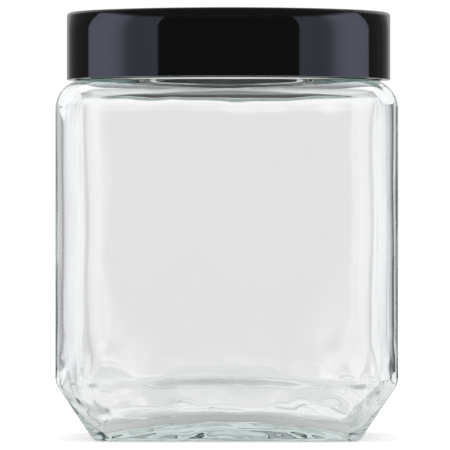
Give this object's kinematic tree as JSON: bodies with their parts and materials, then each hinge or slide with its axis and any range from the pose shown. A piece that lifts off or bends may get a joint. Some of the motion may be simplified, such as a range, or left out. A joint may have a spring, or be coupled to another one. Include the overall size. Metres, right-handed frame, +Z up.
{
  "type": "storage jar",
  "caption": "Square clear glass storage jar with rounded corners, a sloped foot and a round black screw lid.",
  "frame": {"origin": "centre of the foot, on the table", "axes": "+Z up through the middle of the neck and the lid, -Y towards the front flat side, X across"},
  "size_m": [0.104, 0.104, 0.1312],
  "materials": {
    "clear_glass": "clear, very slightly green",
    "black_gloss_plastic": "polished",
    "black_matte_plastic": "as moulded",
    "soft_seal": "matte"
  },
  "bodies": {
    "jar": {"jar_body": "clear_glass"},
    "seal": {"seal_ring": "soft_seal"},
    "lid": {"lid_shell": "black_gloss_plastic", "lid_insert": "black_matte_plastic"}
  },
  "joints": [
    {"name": "lid_lift", "type": "slide", "parent": "jar", "child": "seal", "axis": [0, 0, 1], "range_m": [0, 0.024]},
    {"name": "lid_turn", "type": "hinge", "parent": "seal", "child": "lid", "pos_m": [0, 0, 0.1209], "axis": [0, 0, 1], "range_deg": [0, 540]}
  ],
  "couplings": [
    {"joint": "lid_lift", "follows": "lid_turn", "m_per_rad": 0.0025464}
  ]
}
